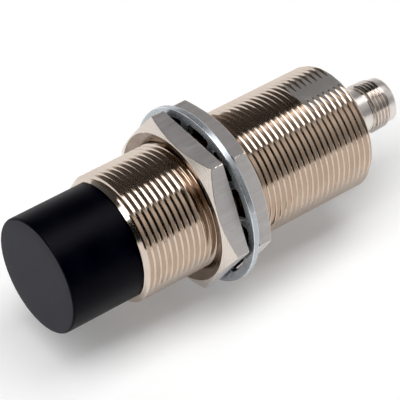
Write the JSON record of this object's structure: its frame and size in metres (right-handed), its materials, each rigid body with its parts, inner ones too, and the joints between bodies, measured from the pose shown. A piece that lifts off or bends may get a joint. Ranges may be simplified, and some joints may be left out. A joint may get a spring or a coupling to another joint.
{
  "type": "inductive proximity sensor",
  "caption": "Cylindrical inductive proximity sensor with a protruding plastic sensing cap, threaded metal barrel, mounting nuts, toothed lock washer and round plug connector.",
  "frame": {"origin": "centre of the sensing face", "axes": "+X along the barrel from the sensing face to the connector; the barrel's wrench flats face +Z and -Z"},
  "size_m": [0.0969, 0.0418, 0.0418],
  "materials": {
    "black_plastic": "fine matt moulded grain, dyed black",
    "nickel_brass": "bright nickel plating on brass, warm tint",
    "nickel_nut": "nickel-plated brass, machined faces and brushed flats",
    "zinc_steel": "bright zinc plating with a bluish passivation",
    "insert_plastic": "moulded black plastic",
    "gold_contact": "gold-plated contact",
    "seal_rubber": "matt black rubber",
    "ferrite": "pressed and sintered, matt dark grey",
    "bobbin_plastic": "natural moulded plastic",
    "copper_wire": "enamelled copper wire",
    "holder_plastic": "moulded dark plastic",
    "sleeve_film": "amber polyimide film",
    "board_laminate": "green solder mask on glass laminate",
    "chip_body": "moulded chip body",
    "ceramic_body": "ceramic capacitor body",
    "tantalum_body": "moulded capacitor body",
    "light_ring": "translucent moulded plastic",
    "led_lens": "clear lamp lens",
    "resin": "cast potting resin",
    "wire_brown": "brown wire insulation",
    "wire_white": "white wire insulation",
    "wire_blue": "blue wire insulation",
    "wire_black": "black wire insulation"
  },
  "bodies": {
    "sensor": {"sensing_cap": "black_plastic", "cap_seal_ring": "seal_rubber", "ferrite_core": "ferrite", "coil_bobbin": "bobbin_plastic", "coil_winding": "copper_wire", "core_holder": "holder_plastic", "coil_lead_1": "copper_wire", "coil_lead_2": "copper_wire", "threaded_barrel": "nickel_brass", "insulating_sleeve": "sleeve_film", "circuit_board": "board_laminate", "control_chip": "chip_body", "output_transistor": "chip_body", "protection_diode": "chip_body", "storage_capacitor": "tantalum_body", "filter_capacitor": "ceramic_body", "trim_resistor": "chip_body", "status_led_1": "led_lens", "status_led_2": "led_lens", "status_led_3": "led_lens", "status_led_4": "led_lens", "connector_shell": "nickel_brass", "connector_insert": "insert_plastic", "connector_seal_ring": "seal_rubber", "indicator_ring": "light_ring", "resin_plug": "resin", "contact_pin_1": "gold_contact", "contact_pin_2": "gold_contact", "contact_pin_3": "gold_contact", "contact_pin_4": "gold_contact", "lead_wire_1": "wire_brown", "lead_wire_2": "wire_white", "lead_wire_3": "wire_blue", "lead_wire_4": "wire_black"},
    "washer": {"toothed_lock_washer": "zinc_steel"},
    "front_nut": {"front_nut": "nickel_nut"},
    "rear_nut": {"rear_nut": "nickel_nut"}
  },
  "joints": [
    {"name": "washer_slide", "type": "slide", "parent": "sensor", "child": "washer", "axis": [-1, 0, 0], "range_m": [0, 0.018]},
    {"name": "front_nut_turn", "type": "hinge", "parent": "washer", "child": "front_nut", "pos_m": [0.03855, 0, 0], "axis": [-1, 0, 0], "range_deg": [0, 4320]},
    {"name": "rear_nut_travel", "type": "slide", "parent": "sensor", "child": "rear_nut", "axis": [1, 0, 0], "range_m": [0, 0.0315]}
  ],
  "couplings": [
    {"joint": "washer_slide", "follows": "front_nut_turn", "m_per_rad": 0.00023873}
  ]
}
